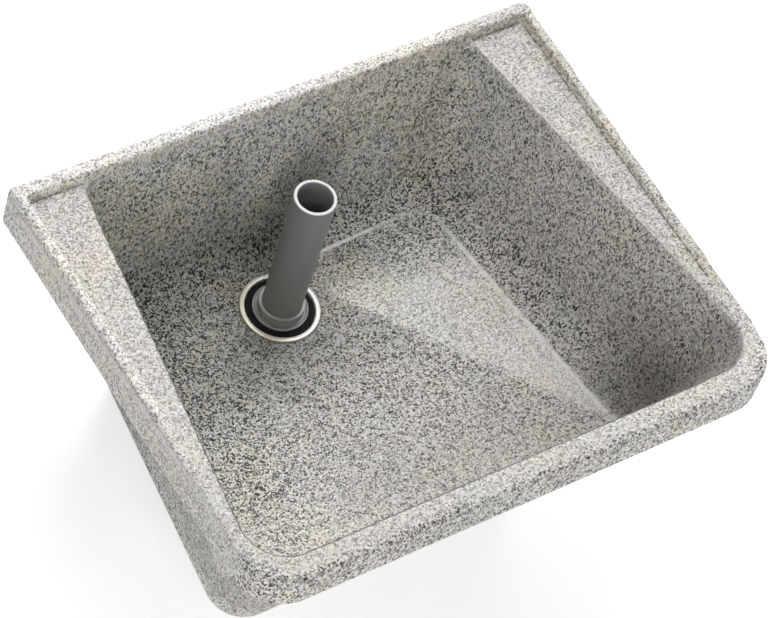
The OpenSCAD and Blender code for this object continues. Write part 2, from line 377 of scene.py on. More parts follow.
def turn(name, profile, sides=fineSides, bevel=0.0, segments=3):
    clearSelection()
    radius, height = profile[0]
    bpy.ops.mesh.primitive_circle_add(vertices=sides, radius=radius,
                                      location=(drainX, drainY, drainZ + height))
    piece = applyPlace(bpy.context.object, name)
    startEdit(piece)
    bpy.ops.mesh.select_mode(type="EDGE")
    selectAll()
    for newRadius, newHeight in profile[1:] + profile[:1]:
        bpy.ops.mesh.extrude_edges_move(TRANSFORM_OT_translate={"value": (0, 0, newHeight - height)})
        grow = newRadius / radius
        bpy.ops.transform.resize(value=(grow, grow, 1),
                                 center_override=(drainX, drainY, drainZ + newHeight))
        radius, height = newRadius, newHeight
    selectAll()
    bpy.ops.mesh.remove_doubles(threshold=tiny)
    bpy.ops.mesh.normals_make_consistent(inside=False)
    endEdit()
    if bevel:
        soften(piece, bevel, segments)
    smooth(piece)
    return piece


thread = {
    "rootSink": 0.0006,  # the root lies inside the wall that carries it
    "footLow": 0.05,  # the tooth's corners, in pitches
    "crestHigh": 0.5,
    "footHigh": 0.95,
}


def addThread(name, crest, root, low, high, pitch, sides=72):
    # one tooth as a small triangle, swept up the axis by the screw modifier
    clearSelection()
    t = thread
    turns = int((high - low) / pitch) - 1
    bpy.ops.mesh.primitive_circle_add(vertices=3, radius=pitch, fill_type="NOTHING")
    tooth = bpy.context.object
    foot = root - t["rootSink"]
    corners = [(foot, t["footLow"] * pitch), (crest, t["crestHigh"] * pitch),
               (foot, t["footHigh"] * pitch)]
    for v, (x, z) in zip(tooth.data.vertices, corners):
        v.co = (x, 0, z)
    tooth = applyPlace(tooth, name)
    useModifier(tooth, "SCREW", angle=2 * math.pi, screw_offset=pitch, iterations=turns,
                steps=sides, render_steps=sides, use_merge_vertices=False, use_normal_calculate=True)
    startEdit(tooth)
    bpy.ops.mesh.select_mode(type="EDGE")
    bpy.ops.mesh.select_all(action="DESELECT")
    bpy.ops.mesh.select_non_manifold()
    bpy.ops.mesh.edge_face_add()
    selectAll()
    bpy.ops.mesh.normals_make_consistent(inside=False)
    endEdit()
    tooth.location = (drainX, drainY, low)
    return applyPlace(tooth, name)


waste = {
    "flangeR": 0.042,
    "flangeHigh": 0.0022,
    "flangeFoot": 0.0002,
    "flangeSide": 0.0014,
    "flangeShoulder": 0.0020,
    "flangeEase": 0.0005,
    "cupR": 0.037,
    "seatDeep": 0.004,
    "seatEase": 0.002,
    "cupWall": 0.0025,
    "boreR": 0.026,
    "outletBoreR": 0.0245,
    "tailR": 0.030,
    "outletR": 0.0298,
    "outletTop": -0.042,
    "upperEnd": -0.040,
    "tailEnd": -0.077,
    "edgeRound": 0.0002,
    "threadDeep": 0.0009,
    "threadPitch": 0.0023,
    "threadEase": 0.001,
    "strainerDeep": 0.024,
    "barWide": 0.008,
    "barHigh": 0.009,
    "barSink": 0.001,  # the bar's ends reach to this far from the bore's wall
    "barRound": 0.0012,
    "screwHoleR": 0.0021,
}


def makeWaste():
    w = waste
    cupBase = -w["seatDeep"] - w["cupWall"]
    middle = (w["flangeR"] + w["cupR"]) / 2
    core = w["outletR"] - w["threadDeep"]
    upperCore = w["tailR"] - w["threadDeep"]
    ease, shoulder = w["flangeEase"], w["flangeShoulder"]
    body = turn("wasteFlange", [
        (w["flangeR"], w["flangeFoot"]), (w["flangeR"], w["flangeSide"]),
        (w["flangeR"] - ease, shoulder), (middle, w["flangeHigh"]), (w["cupR"] + ease, shoulder),
        (w["cupR"], w["flangeSide"]), (w["cupR"], -w["seatDeep"]),
        (w["boreR"] + w["seatEase"], -w["seatDeep"]), (w["boreR"], -w["seatDeep"] - w["seatEase"]),
        (w["boreR"], -w["strainerDeep"]), (w["outletBoreR"], -w["strainerDeep"]),
        (w["outletBoreR"], w["tailEnd"]), (core, w["tailEnd"]), (core, w["upperEnd"]),
        (upperCore, w["upperEnd"]), (upperCore, cupBase), (w["cupR"] + w["cupWall"], cupBase),
        (w["cupR"] + w["cupWall"], w["flangeFoot"])], bevel=w["edgeRound"], segments=2)
    reach, half = w["boreR"] - w["barSink"], w["barWide"] / 2
    barTop = drainZ - w["strainerDeep"]
    bar = addBlock("bar", (drainX - reach, drainY - half, barTop - w["barHigh"]),
                   (drainX + reach, drainY + half, barTop))
    soften(bar, w["barRound"], 3)
    cutRound(bar, "screwHole", 0, drainZ, w["screwHoleR"], 32)
    upper = addThread("upperThread", w["tailR"], upperCore, drainZ + w["upperEnd"],
                      drainZ + cupBase - w["threadEase"], w["threadPitch"])
    lower = addThread("lowerThread", w["outletR"], core, drainZ + w["tailEnd"] + w["threadEase"],
                      drainZ + w["outletTop"], w["threadPitch"])
    body = joinAll([body, bar, upper, lower], "wasteFlange")
    smooth(body)
    return body


strainer = {
    "plateR": 0.0256,
    "thick": 0.0015,
    "edge": 0.003,
    "edgeRound": 0.0003,
    "slotWide": 0.0032,
    "slotPitch": 0.0064,
    "slotShort": 0.0006,
    "slotGap": 0.001,  # between the screw's head and the middle slots
    "slotRound": 0.48,  # of the slot's width
    "slotBelow": 0.002,
    "slotAbove": 0.004,
    "past": 0.01,
    "screwR": 0.0021,
    "screwGap": 0.0001,
    "headR": 0.0044,
    "headHigh": 0.002,
    "headInset": 0.0012,
    "headRound": 0.0008,
    "driver": 0.0012,
    "threadDeep": 0.0003,
    "threadPitch": 0.0009,
    "threadStop": 0.0015,
    "shankSink": 0.0002,
    "shankShort": 0.001,
}


def makeStrainer():
    s = strainer
    bottom = drainZ - waste["strainerDeep"]
    plate = addDisc("strainerPlate", drainX, drainY, bottom, bottom + s["thick"], s["plateR"],
                    fineSides)
    startEdit(plate)
    roundEdges(plate, lambda edge: abs(edge.verts[0].co.z - edge.verts[1].co.z) < tiny,
               s["edgeRound"], 2)
    endEdit()
    rows = int((s["plateR"] - s["edge"]) / s["slotPitch"])
    cuts = []
    for row in range(-rows, rows + 1):
        x = row * s["slotPitch"]
        reach = math.sqrt((s["plateR"] - s["edge"]) ** 2 - x * x) - s["slotShort"]
        near = waste["barWide"] / 2
        if row == 0:
            near = s["headR"] + s["slotGap"]
        for side in (-1, 1):
            ends = sorted((side * near, side * reach))
            half = s["slotWide"] / 2
            slot = addBlock("slot", (drainX + x - half, drainY + ends[0], bottom - s["slotBelow"]),
                            (drainX + x + half, drainY + ends[1], bottom + s["slotAbove"]))
            startEdit(slot)
            roundEdges(slot, isUpright, s["slotWide"] * s["slotRound"], 5)
            endEdit()
            cuts.append(slot)
    combine(plate, joinAll(cuts, "slots"))
    cutRound(plate, "hole", bottom - s["past"], bottom + s["past"], s["screwR"] + s["screwGap"], 32)
    smooth(plate)
    return plate


def makeScrew():
    s = strainer
    seat = drainZ - waste["strainerDeep"] + s["thick"]
    headTop = seat + s["headHigh"]
    axis = Vector((drainX, drainY))
    head = addDisc("strainerScrewHead", drainX, drainY, seat, headTop, s["headR"], 48)
    startEdit(head)
    choose(head, "FACE", lambda face: face.normal.z > level)
    bpy.ops.mesh.inset(thickness=s["headInset"])
    roundEdges(head, lambda edge: all(v.co.z > headTop - tiny for v in edge.verts)
               and (edge.verts[0].co.xy - axis).length > s["headR"] - tiny, s["headRound"], 3)
    endEdit()
    past, half = s["past"], s["driver"] / 2
    combine(head, addBlock("driver", (drainX - past, drainY - half, seat + s["headHigh"] / 2),
                           (drainX + past, drainY + half, seat + past)))
    shankR = s["screwR"] - s["threadDeep"]
    shankEnd = seat - s["thick"] - waste["barHigh"] + s["shankShort"]
    shank = addDisc("shank", drainX, drainY, shankEnd, seat + s["shankSink"], shankR, 32)
    ridge = addThread("screwThread", s["screwR"], shankR, shankEnd, seat - s["threadStop"],
                      s["threadPitch"], sides=24)
    screw = joinAll([head, shank, ridge], "strainerScrewHead")
    smooth(screw)
    return screw


underside = {
    "gasketInR": 0.0304,
    "gasketOutR": 0.0395,
    "gasketTop": -0.0065,
    "gasketThick": 0.002,
    "gasketRound": 0.0005,
    "washerR": 0.040,
    "washerTop": -0.022,
    "washerThick": 0.004,
    "washerTaper": (0.003, 0.0012),  # across and up
    "washerRound": 0.0006,
    "slipR": 0.0385,
    "slipThick": 0.002,
    "slipEdges": (0.0008, 0.001),  # outer and inner
    "slipRound": 0.0003,
    "nutWide": 0.076,
    "nutHigh": 0.012,
    "nutBoreR": 0.0301,
    "nutChamfer": 0.0022,
    "chamferShape": (0.8, 0.3, 0.4),  # height below, height above and width above, in chamfers
    "nutSpare": 0.0001,
    "nutCoreR": 0.02,
    "nutRound": 0.0004,
    "past": 0.01,
}


def makeUnderside():
    u = underside
    inner = u["gasketInR"]
    base = u["gasketTop"] - u["gasketThick"]
    gasket = turn("flangeRubber", [
        (inner, base), (u["gasketOutR"], base), (u["gasketOutR"], u["gasketTop"]),
        (inner, u["gasketTop"])], bevel=u["gasketRound"])
    low = u["washerTop"] - u["washerThick"]
    across, up = u["washerTaper"]
    washer = turn("bottomRubber", [
        (inner, low), (u["washerR"] - across, low), (u["washerR"], low + up),
        (u["washerR"], u["washerTop"]), (inner, u["washerTop"])], bevel=u["washerRound"])
    slipLow = low - u["slipThick"]
    slip = turn("slipDisc", [
        (inner, slipLow), (u["slipR"], slipLow), (u["slipR"], low),
        (u["slipR"] - u["slipEdges"][0], low), (inner + u["slipEdges"][1], low), (inner, low)],
        bevel=u["slipRound"])
    top, bottom = drainZ + slipLow, drainZ + slipLow - u["nutHigh"]
    corner = u["nutWide"] / 2 / math.cos(math.pi / 6)
    nut = addDisc("clampNut", drainX, drainY, bottom, top, corner, 6)
    nut.data.transform(Matrix.Translation((drainX, drainY, 0)) @ Matrix.Rotation(math.pi / 6, 4, "Z")
                       @ Matrix.Translation((-drainX, -drainY, 0)))
    chamfer, outer = u["nutChamfer"], corner + u["nutSpare"]
    lowSlope, highSlope, highWide = (chamfer * share for share in u["chamferShape"])
    limit = turn("nutLimit", [
        (u["nutCoreR"], bottom - drainZ), (corner - chamfer, bottom - drainZ),
        (outer, bottom - drainZ + lowSlope), (outer, top - drainZ - highSlope),
        (corner - highWide, top - drainZ), (u["nutCoreR"], top - drainZ)], sides=144)
    combine(nut, limit, "INTERSECT")
    cutRound(nut, "nutBore", bottom - u["past"], top + u["past"], u["nutBoreR"])
    soften(nut, u["nutRound"], 2, 25)
    smooth(nut, 30)
    return gasket, washer, slip, nut


plug = {
    "pipeHigh": 0.192,
    "mouthR": 0.022,
    "mouthStraight": 0.003,
    "footR": 0.0207,
    "boreR": 0.0178,
    "footDeep": 0.008,
    "mouthRound": 0.0016,
    "socketGap": 0.0001,
    "collarR": 0.024,
    "collarHigh": 0.013,
    "flangeR": 0.029,
    "flangeThick": 0.0034,
    "groove": 0.0014,
    "edgeWide": 0.0016,
    "spigotR": 0.025,
    "spigotDeep": 0.018,
    "spigotTaper": (0.0012, 0.002),  # across and up
    "socketRound": 0.0004,
    "sealR": 0.0364,
    "sealDeep": 0.004,
    "sealTaper": (0.0015, 0.0012),  # across and up
    "sealShoulder": 0.0008,
    "sealRound": 0.0003,
}


def makePlug():
    p = plug
    pipe = turn("overflowTube", [
        (p["boreR"], -p["footDeep"]), (p["footR"], -p["footDeep"]), (p["footR"], p["collarHigh"]),
        (p["mouthR"], p["pipeHigh"] - p["mouthStraight"]), (p["mouthR"], p["pipeHigh"]),
        (p["boreR"], p["pipeHigh"])], bevel=p["mouthRound"], segments=5)
    bottom = p["flangeThick"] - p["groove"]
    socketR = p["footR"] + p["socketGap"]
    across, up = p["spigotTaper"]
    socket = turn("tubeFoot", [
        (p["boreR"], -p["spigotDeep"]), (p["spigotR"] - across, -p["spigotDeep"]),
        (p["spigotR"], -p["spigotDeep"] + up), (p["spigotR"], 0), (p["flangeR"], 0),
        (p["flangeR"], p["flangeThick"]), (p["flangeR"] - p["edgeWide"], p["flangeThick"]),
        (p["flangeR"] - p["edgeWide"], bottom), (p["collarR"], bottom),
        (p["collarR"], p["collarHigh"]), (socketR, p["collarHigh"]),
        (socketR, -p["footDeep"]), (p["boreR"], -p["footDeep"])], bevel=p["socketRound"])
    across, up = p["sealTaper"]
    seal = turn("plugRubber", [
        (p["spigotR"], -p["sealDeep"]), (p["sealR"] - across, -p["sealDeep"]),
        (p["sealR"], -p["sealDeep"] + up), (p["sealR"], -p["sealShoulder"]),
        (p["sealR"] - p["sealShoulder"], 0), (p["spigotR"], 0)], bevel=p["sealRound"])
    return pipe, socket, seal


basinStone = makeBasin()
wasteFlange = makeWaste()
strainerPlate = makeStrainer()
screwHead = makeScrew()
flangeRubber, bottomRubber, slipDisc, clampNut = makeUnderside()
overflowTube, tubeFoot, plugRubber = makePlug()
print("pieces modelled")


# materials


class Flow:
    # a socket whose value can be added to, subtracted from or multiplied
    def __init__(self, nodes, socket):
        self.nodes = nodes
        self.socket = socket

    def reckon(self, operation, first, second):
        return self.nodes.add("Math", {"operation": operation}, {0: first, 1: second})

    def __add__(self, other):
        return self.reckon("ADD", self, other)

    def __radd__(self, other):
        return self.reckon("ADD", other, self)

    def __sub__(self, other):
        return self.reckon("SUBTRACT", self, other)

    def __rsub__(self, other):
        return self.reckon("SUBTRACT", other, self)

    def __mul__(self, other):
        return self.reckon("MULTIPLY", self, other)


class Nodes:
    def __init__(self, tree):
        self.tree = tree

    def add(self, kind, settings, inputs, output=0):
        node = self.tree.nodes.new("ShaderNode" + kind)
        for key, value in settings.items():
            if key == "stops":
                ramp = node.color_ramp
                while len(ramp.elements) < len(value):
                    ramp.elements.new(0.5)
                for stop, (position, shade) in zip(ramp.elements, value):
                    stop.position = position
                    stop.color = (*shade, 1)
            else:
                setattr(node, key, value)
        for key, value in inputs.items():
            self.feed(node.inputs[key], value)
        return Flow(self, node.outputs[output])

    def feed(self, socket, value):
        if isinstance(value, Flow):
            self.tree.links.new(value.socket, socket)
        else:
            socket.default_value = value


class Paint(Nodes):
    def __init__(self, name, **constants):
        self.material = bpy.data.materials.new(name)
        self.material.use_nodes = True
        super().__init__(self.material.node_tree)
        self.shader = self.tree.nodes["Principled BSDF"]
        for key, value in constants.items():
            self.set(key.replace("_", " "), value)
        self.place = self.add("TexCoord", {}, {}, "Object")

    def set(self, key, value):
        self.feed(self.shader.inputs[key], value)

    def vector(self, operation, first, second, output=0):
        return self.add("VectorMath", {"operation": operation}, {0: first, 1: second}, output)

    def length(self, vector):
        return self.vector("LENGTH", vector, (0, 0, 0), "Value")

    def scaled(self, vector, factor):
        return self.add("VectorMath", {"operation": "SCALE"}, {0: vector, "Scale": factor})

    def noise(self, scale, detail=2.0, rough=0.5, vector=None, output=0):
        return self.add("TexNoise", {}, {"Vector": vector or self.place, "Scale": scale,
                                         "Detail": detail, "Roughness": rough}, output)

    def cells(self, scale, vector):
        return self.add("TexVoronoi", {"feature": "F1"}, {"Vector": vector, "Scale": scale}, "Color")

    def part(self, colour, output):
        return self.add("SeparateColor", {}, {0: colour}, output)

    def axis(self, vector, output):
        return self.add("SeparateXYZ", {}, {0: vector}, output)

    def mix(self, factor, first, second, blend="MIX"):
        return self.add("Mix", {"data_type": "RGBA", "blend_type": blend},
                        {0: factor, 6: first, 7: second}, 2)

    def ramp(self, factor, stops):
        return self.add("ValToRGB", {"stops": stops}, {0: factor})

    def span(self, value, low, high, newLow=0.0, newHigh=1.0):
        return self.add("MapRange", {"interpolation_type": "SMOOTHSTEP"}, {
            "Value": value, "From Min": low, "From Max": high, "To Min": newLow, "To Max": newHigh})

    def bump(self, height, distance, strength=0.5):
        self.set("Normal", self.add("Bump", {}, {
            "Strength": strength, "Distance": distance, "Height": height}))

    def radius(self):
        # distance from the drain's axis
        away = self.vector("SUBTRACT", self.place, (drainX, drainY, 0))
        return self.length(self.vector("MULTIPLY", away, (1, 1, 0)))

    def lineGap(self, start, end, place=None):
        # distance from a straight line between two points
        start, run = Vector(start), Vector(end) - Vector(start)
        away = self.vector("SUBTRACT", place or self.place, tuple(start))
        along = self.vector("DOT_PRODUCT", away, tuple(run / run.length_squared), "Value")
        along = self.add("Clamp", {}, {0: along})
        return self.length(self.vector("SUBTRACT", away, self.scaled(tuple(run), along)))

    def cover(self, *pieces):
        for piece in pieces:
            piece.data.materials.clear()
            piece.data.materials.append(self.material)


def grey(value, warm=0.0):
    return (value * (1 + warm), value, value * (1 - warm))


stone = {
    "grainScale": 620.0,  # cells of about 1.6 mm
    "fineScale": 1150.0,
    "fineShare": 0.16,
    "clumpScale": 170,
    "clumpShare": 0.14,
    "warpScale": 420,
    "warp": 0.0005,
    "stretch": (1.0, 1.0, 0.62),  # the specks run down the walls
    "middle": 0.55,  # the tone that contrast leaves alone
    "tones": [
        (0.00, grey(0.02)), (0.10, grey(0.05)), (0.22, grey(0.21, 0.01)), (0.36, grey(0.40, 0.02)),
        (0.55, grey(0.58, 0.02)), (0.75, grey(0.71, 0.02)), (0.90, grey(0.80, 0.01)),
        (1.00, grey(0.86))],
    "chipTints": [  # beige, blue-grey and green chips among the grey ones
        (0.00, (0.97, 1.00, 1.03)), (0.30, (1.0, 1.0, 0.99)), (0.55, (1.06, 1.0, 0.90)),
        (0.78, (1.0, 1.0, 0.98)), (1.00, (0.95, 1.02, 0.95))],
    "patchScale": 11.0,
    "patchTints": [
        (0.30, (0.95, 0.985, 0.985)), (0.50, (0.995, 1.0, 0.99)), (0.72, (1.035, 1.015, 0.94))],
    "nearTint": (1.0, 1.0, 0.98, 1),
    "farTint": (1.022, 0.993, 1.014, 1),
    "lipFaceTint": (1.01, 0.99, 0.93, 1),
    "tubeShadowTint": (0.70, 0.71, 0.71, 1),
    "paleLineColour": (0.95, 0.93, 0.90, 1),
    "darkLineColour": (0.09, 0.09, 0.08, 1),
    "drainDarkColour": (0.10, 0.10, 0.09, 1),
    "paleLineSpans": {  # where the pale lines start and are full
        "right": (0.0040, 0.0010), "rear": (0.0024, 0.0010), "mouth": (0.0028, 0.0010),
        "left": (0.0060, 0.0015)},
    "footSpan": (0.0022, 0.0008),
    "turnedShare": 0.9,
    "tubeShadowSpan": (0.062, 0.012),
    "drainDarkSpan": (0.075, 0.040),
    "drainDarkShare": 0.15,
    "seatSpan": (0.0434, 0.0424),
    "seatShare": 0.75,
    "reliefs": (0.6, 0.4, 1.4),  # of the grain, the fine grain and the unevenness
    "sideContrast": 0.72,  # how much the specks stand out, then place by place
    "contrasts": {"onTop": 0.76, "onApron": 1.16, "wall": 1.02, "floor": 1.26, "facet": 0.95},
    "moreContrast": {"onLip": 0.15, "farFront": -0.34},
    # painted light and shade in the specks' tone: paler on the right facet and the lip, darker on the
    # floor's left side and by the rear wall
    "paintedLightShifts": {"facet": 0.12, "shade": -0.13, "rear": -0.05, "onLip": 0.05},
    # painted light and shade: each region's brightness is raised or lowered for how light falls on it
    "paintedLightGains": {
        "onTop": 0.12, "lipLeft": 0.18, "facet": 0.17, "paleFront": 1.0, "frontLeft": 0.22,
        "deep": -0.20, "corner": -0.56, "rightTop": -0.14, "rightEdge": 0.35, "apronRight": 0.08,
        "lipRight": -0.06, "apronFace": 0.27, "apronEnd": 0.08, "outerLeft": 0.32, "strip": -0.06,
        "rearLeft": 0.04},
    "roughness": (0.47, 0.67),
    "bump": 0.0005,
    "bumpStrength": 0.7,
    "rightCrease": ((0.2185, -0.125, 0), (0.186, 0.152, 0)),
    "rearCrease": ((0.178, 0.1695, 0), (0.03, 0.1695, 0)),
    "tubeShadow": ((0.0, 0.200, 0.115), (0.035, 0.210, 0.180)),
    "rightFoot": ((0.2885, -0.12), (0.2885, 0.225)),  # a darker line along the lip's foot
    "rearFoot": ((0.229, 0.2245), (0.2885, 0.2245)),
}

# slanting coordinates, as shares of x, y and the depth below the rim
slants = {
    "valley": (0.8267, 0.5627, 0),
    "fade": (0.3, 1.0, 0),
    "diagonal": (1.0, 1.0, 0),
    "farness": (0.5, -0.8, 0),
    "toRightCorner": (0.707, -0.707, 0),
    "toLeftCorner": (-0.707, -0.707, 0),
    "sideWall": (1.0, 0, 0.156),
    "frontWall": (0, 1.0, -0.3375),
    "cornerWall": (0.707, -0.707, 0.317),
}

# a mask is a product: a coordinate with the values where it starts and is full, or another mask
masks = {
    "inBowl": [("down", 0.001, 0.012)],
    "onTop": [("down", 0.007, 0.003)],
    "onLip": [("down", -0.002, -0.006)],
    "onFloor": [("z", 0.155, 0.115), "inBowl"],
    "inMouth": [("fromLeft", -0.004, 0.004), ("fromRight", -0.004, 0.004), ("fromFront", -0.004, 0.003)],
    "offApron": [("front", 0.010, 0.002, 1, 0), ("toRightCorner", 0.350, 0.358, 1, 0),
                 ("toLeftCorner", 0.350, 0.358, 1, 0)],
    "onApron": ["not offApron"],
    "wall": ["inBowl", "inMouth"],
    "floor": ["onFloor", "inMouth"],
    # painted light and shade: the floor's right facet is the palest, its left side has the most dark
    # specks
    "facet": [("valley", 0.096, 0.110), ("pastCrease", 0.003, -0.003), ("fade", 0.185, 0.115),
              ("z", 0.125, 0.11)],
    "shade": [("x", -0.06, -0.17), ("z", 0.15, 0.11), ("y", -0.17, -0.05)],
    "rear": [("y", 0.06, 0.16), ("z", 0.15, 0.10), "not facet"],
    # painted light and shade: the front of the floor is paler, the deep rear darker
    "farFront": [("y", 0.02, -0.14), "onFloor"],
    "paleFront": ["farFront", ("x", 0.08, -0.12, 0.02, 0.15)],
    "frontLeft": [("x", -0.05, -0.14), ("y", 0.08, 0.0), "onFloor"],
    "deep": [("y", -0.02, 0.07), ("z", 0.22, 0.13), ("x", 0.16, 0.03), "inBowl", "not facet"],
    "rearLeft": [("x", 0.0, -0.10), ("y", 0.15, 0.19), "inBowl"],
    # painted shade: the dark corner at the right of the front, only on the bowl's inner face, and the
    # darker strip along the right cove
    "highCorner": [("z", 0.25, 0.12, 1, 0), ("y", -0.14, -0.18, 1, 0.55)],
    "corner": [("y", -0.03, -0.15), ("pastCrease", 0.002, 0.010), "not highCorner",
               ("down", 0.001, 0.004), ("sideWall", 0.294, 0.288), ("frontWall", -0.231, -0.225),
               ("cornerWall", 0.350, 0.344)],
    "strip": [("pastCrease", 0.001, 0.006), "inBowl", ("z", 0.135, 0.115), "not corner"],
    # painted shade: the right ledge is greyer; painted highlight: the rounded edge under the mouth's
    # right side is paler
    "rightTop": ["onTop", ("x", 0.18, 0.22), ("y", -0.20, -0.12)],
    "rightEdge": [("down", 0.010, 0.004), "not onTop", ("x", 0.15, 0.20), ("fromRight", -0.004, 0.0),
                  ("y", -0.18, -0.14)],
    # painted light: the lip's left part, the apron and the outer left side are paler; painted shade: the
    # lip's right end is darker
    "lipLeft": ["onLip", ("x", 0.15, -0.15)],
    "lipRight": ["onLip", ("x", 0.20, 0.27)],
    "apronRight": ["onApron", ("x", -0.05, 0.25)],
    "apronFace": ["onApron", "not onTop"],
    "apronEnd": ["apronFace", ("x", 0.24, 0.28)],
    "outerLeft": ["not onTop", "not onApron", ("fromLeft", 0.003, 0.0)],
    "near": [("farness", -0.12, 0.06, 1, 0), "not onTop", "not outerLeft"],
    "lipFace": [("down", 0.0, -0.002), ("down", -0.012, -0.009), ("right", 0.004, 0.008),
                ("x", -0.289, -0.285), ("back", 0.014, 0.018)],
    # painted shade: the dark line where the front and left walls start below the mouth
    "frontRun": [("y", -0.15, -0.18), ("x", 0.235, 0.205)],
    "leftRun": [("x", -0.15, -0.18), ("y", 0.20, 0.18)],
    "offRun": ["not frontRun", "not leftRun"],
    "turned": [("down", 0.0002, 0.0010), ("down", 0.0040, 0.0022), "not offRun", ("front", 0.012, 0.015),
               ("left", 0.010, 0.012), ("diagonal", -0.498, -0.490)],
}


def stoneMasks(paint):
    x, y, z = (paint.axis(paint.place, k) for k in range(3))
    down = rimTop - z
    start, end = (Vector(point) for point in stone["rightCrease"])
    across = Vector((end.y - start.y, start.x - end.x)).normalized()
    flows = {
        "x": x, "y": y, "z": z, "down": down,
        "front": y - frontY, "back": backY - y, "left": x + halfWide, "right": halfWide - x,
        "fromLeft": x + mouthFrontX, "fromRight": mouthFrontX - x, "fromFront": y - mouthFrontY,
        "pastCrease": (x - start.x) * across.x + (y - start.y) * across.y}
    for name, shares in slants.items():
        flows[name] = x * shares[0] + y * shares[1] + down * shares[2]
    for name, rows in masks.items():
        full = None
        for row in rows:
            if not isinstance(row, str):
                share = paint.span(flows[row[0]], *row[1:])
            elif row.startswith("not "):
                share = 1 - flows[row[4:]]
            else:
                share = flows[row]
            full = full * share if full else share
        flows[name] = full
    return flows


def weigh(flows, start, weights):
    total = start
    for name, weight in weights.items():
        total = total + flows[name] * weight
    return total


def paleLinesOf(paint, flows):
    # pale lines: painted highlights on the floor's creases and the mouth's right edge, and a paler
    # streak along the left side
    spans = stone["paleLineSpans"]
    flat = paint.vector("MULTIPLY", paint.place, (1, 1, 0))
    right = paint.span(paint.lineGap(*stone["rightCrease"], flat), *spans["right"])
    rear = paint.span(paint.lineGap(*stone["rearCrease"], flat), *spans["rear"])
    creases = right * paint.span(flows["y"], 0.152, 0.09, 0.5, 1.0)
    creases = creases + rear * paint.span(flows["x"], 0.17, 0.10, 0.25, 1.1)
    creases = creases * paint.span(paint.noise(90, 3.0), 0.30, 0.65, 0.50, 0.95)
    creases = creases * paint.span(flows["z"], 0.12, 0.11)
    mouth = paint.lineGap((mouthRearX, mouthBackY - 0.01, rimTop),
                          (mouthFrontX - 0.001, mouthFrontY + 0.045, rimTop))
    mouth = paint.span(mouth, *spans["mouth"]) * paint.span(paint.noise(110, 3.0), 0.35, 0.6, 0.4, 1.0)
    streak = paint.lineGap((-halfWide, 0.21, rimTop - 0.005), (-halfWide, -0.17, rimTop - 0.004))
    streak = paint.span(streak, *spans["left"]) * paint.noise(40, 2.0)
    return creases + mouth + streak


def darkLinesOf(paint, flows):
    foot = 0.0
    for side, line in ((1, "rightFoot"), (-1, "rearFoot"), (1, "rearFoot")):
        ends = ((side * x, y, rimTop) for x, y in stone[line])
        foot = foot + paint.span(paint.lineGap(*ends), *stone["footSpan"])
    foot = foot * paint.span(paint.noise(260, 2.0), 0.38, 0.58, 0.35, 0.95)
    # painted shade along the mouth's front and left edges
    return foot + flows["turned"] * stone["turnedShare"]


def paintStone():
    s = stone
    paint = Paint("castStone", Specular_IOR_Level=0.22)
    stretched = paint.vector("MULTIPLY", paint.place, s["stretch"])
    drift = paint.noise(s["warpScale"], 1.0, vector=stretched, output=1)
    drift = paint.vector("SUBTRACT", drift, (0.5, 0.5, 0.5))
    point = paint.vector("ADD", stretched, paint.scaled(drift, s["warp"] * 2))
    chips = paint.cells(s["grainScale"], point)
    grain = paint.part(chips, 0)
    fine = paint.part(paint.cells(s["fineScale"], point), 1)
    clump = paint.noise(s["clumpScale"], 2.0, vector=stretched)
    flows = stoneMasks(paint)
    contrast = s["sideContrast"]
    for name, goal in s["contrasts"].items():
        contrast = contrast + flows[name] * (goal - contrast)
    contrast = weigh(flows, contrast, s["moreContrast"])
    speck = grain * (1 - s["fineShare"]) + fine * s["fineShare"] + (clump - 0.5) * s["clumpShare"]
    speck = (speck - s["middle"]) * contrast + s["middle"]
    # painted light and shade: the speck tones shift paler or darker by region
    colour = paint.ramp(weigh(flows, speck, s["paintedLightShifts"]), s["tones"])
    colour = paint.mix(1.0, colour, paint.ramp(paint.part(chips, 2), s["chipTints"]), "MULTIPLY")
    patches = paint.ramp(paint.noise(s["patchScale"], 3.0, 0.55), s["patchTints"])
    colour = paint.mix(1.0, colour, patches, "MULTIPLY")
    # painted light and shade, region by region
    colour = paint.mix(1.0, colour, weigh(flows, 1.0, s["paintedLightGains"]), "MULTIPLY")
    # yellower in the bowl's rear left, rosier elsewhere, and the lip's inner face browner
    tint = paint.mix(flows["near"], s["farTint"], s["nearTint"])
    colour = paint.mix(1.0, colour, tint, "MULTIPLY")
    colour = paint.mix(flows["lipFace"], colour, s["lipFaceTint"], "MULTIPLY")
    # painted highlights on the creases and the mouth's right edge, and the left side's paler streak
    colour = paint.mix(paleLinesOf(paint, flows), colour, s["paleLineColour"])
    # a darker line along the lip's foot, and painted shade below the mouth's front and left edges
    colour = paint.mix(darkLinesOf(paint, flows), colour, s["darkLineColour"])
    # painted shadow of the tube on the rear wall behind it
    tubeShadow = paint.span(paint.lineGap(*s["tubeShadow"]), *s["tubeShadowSpan"])
    colour = paint.mix(tubeShadow, colour, s["tubeShadowTint"], "MULTIPLY")
    # darker round the drain, and a dark line at the seat's edge
    gap = paint.radius()
    darkening = paint.span(gap, *s["drainDarkSpan"]) * s["drainDarkShare"]
    darkening = darkening + paint.span(gap, *s["seatSpan"]) * s["seatShare"]
    colour = paint.mix(darkening, colour, s["drainDarkColour"])
    paint.set("Base Color", colour)
    paint.set("Roughness", paint.span(grain, 0.0, 1.0, *s["roughness"]))
    coarse, small, uneven = s["reliefs"]
    relief = grain * coarse + fine * small + paint.noise(90, 3.0) * uneven
    paint.bump(relief, s["bump"], s["bumpStrength"])
    paint.cover(basinStone)


